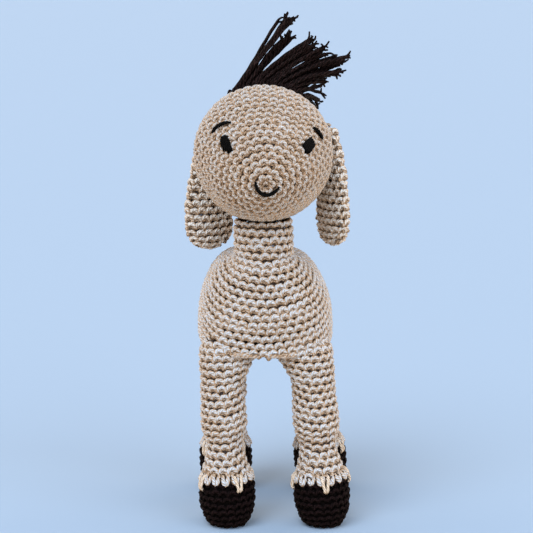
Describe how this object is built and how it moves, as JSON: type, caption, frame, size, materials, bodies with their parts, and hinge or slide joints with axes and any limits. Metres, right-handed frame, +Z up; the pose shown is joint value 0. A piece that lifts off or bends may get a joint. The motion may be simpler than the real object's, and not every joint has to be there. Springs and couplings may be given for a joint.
{
  "type": "crocheted goat toy",
  "caption": "Free-standing crocheted cotton goat doll with a turning head, hanging ears, a swept yarn tuft, dark hooves and soft legs that swing at the hips.",
  "frame": {"origin": "on the floor plane, below the middle of the bounding box", "axes": "+Z up, -Y the way the goat faces, +X to its left"},
  "size_m": [0.0808, 0.1238, 0.2403],
  "materials": {
    "coat_yarn": "matte",
    "hoof_yarn": "matte",
    "tuft_yarn": "matte",
    "face_yarn": "satin",
    "stuffing": "matte"
  },
  "bodies": {
    "torso": {"body_shell": "coat_yarn", "body_stuffing": "stuffing", "tail_seam": "coat_yarn"},
    "neck_ring": {"neck_seam": "coat_yarn"},
    "head": {"head_shell": "coat_yarn", "head_stuffing": "stuffing", "eye_left": "face_yarn", "eye_right": "face_yarn", "brow_left": "face_yarn", "brow_right": "face_yarn", "mouth": "face_yarn", "tuft_knots": "tuft_yarn", "tuft_front": "tuft_yarn", "tuft_middle": "tuft_yarn", "tuft_back": "tuft_yarn", "ear_seam_left": "coat_yarn", "ear_seam_right": "coat_yarn"},
    "left_ear": {"ear_left": "coat_yarn"},
    "right_ear": {"ear_right": "coat_yarn"},
    "goat_tail": {"tail": "coat_yarn"},
    "front_left_leg": {"leg_front_left": "coat_yarn", "leg_stuffing_front_left": "stuffing", "hoof_front_left": "hoof_yarn", "spikes_front_left": "coat_yarn"},
    "front_right_leg": {"leg_front_right": "coat_yarn", "leg_stuffing_front_right": "stuffing", "hoof_front_right": "hoof_yarn", "spikes_front_right": "coat_yarn"},
    "rear_left_leg": {"leg_rear_left": "coat_yarn", "leg_stuffing_rear_left": "stuffing", "hoof_rear_left": "hoof_yarn", "spikes_rear_left": "coat_yarn"},
    "rear_right_leg": {"leg_rear_right": "coat_yarn", "leg_stuffing_rear_right": "stuffing", "hoof_rear_right": "hoof_yarn", "spikes_rear_right": "coat_yarn"}
  },
  "joints": [
    {"name": "head_turn", "type": "hinge", "parent": "torso", "child": "neck_ring", "pos_m": [-0.00345, -0.0249, 0.17495], "axis": [0, 0, 1], "range_deg": [-12, 12], "stiffness_Nm_per_rad": 0.12},
    {"name": "head_nod", "type": "hinge", "parent": "neck_ring", "child": "head", "pos_m": [-0.00345, -0.0249, 0.17495], "axis": [1, 0, 0], "range_deg": [-2, 10], "stiffness_Nm_per_rad": 0.15},
    {"name": "ear_left_flap", "type": "hinge", "parent": "head", "child": "left_ear", "pos_m": [0.0244, -0.01071, 0.18745], "axis": [0.515, -0.8572, 0], "range_deg": [0, 90]},
    {"name": "ear_right_flap", "type": "hinge", "parent": "head", "child": "right_ear", "pos_m": [-0.02851, -0.00233, 0.18395], "axis": [0.9063, 0.4226, 0], "range_deg": [0, 90]},
    {"name": "tail_lift", "type": "hinge", "parent": "torso", "child": "goat_tail", "pos_m": [-0.00405, 0.05404, 0.11456], "axis": [1, 0, 0], "range_deg": [0, 80]},
    {"name": "front_left_swing", "type": "hinge", "parent": "torso", "child": "front_left_leg", "pos_m": [0.01875, -0.0249, 0.082], "axis": [1, 0, 0], "range_deg": [-12, 12], "stiffness_Nm_per_rad": 0.4},
    {"name": "front_right_swing", "type": "hinge", "parent": "torso", "child": "front_right_leg", "pos_m": [-0.02325, -0.0249, 0.082], "axis": [1, 0, 0], "range_deg": [-12, 12], "stiffness_Nm_per_rad": 0.4},
    {"name": "rear_left_swing", "type": "hinge", "parent": "torso", "child": "rear_left_leg", "pos_m": [0.01875, 0.0351, 0.082], "axis": [1, 0, 0], "range_deg": [-12, 12], "stiffness_Nm_per_rad": 0.4},
    {"name": "rear_right_swing", "type": "hinge", "parent": "torso", "child": "rear_right_leg", "pos_m": [-0.02325, 0.0351, 0.082], "axis": [1, 0, 0], "range_deg": [-12, 12], "stiffness_Nm_per_rad": 0.4}
  ]
}
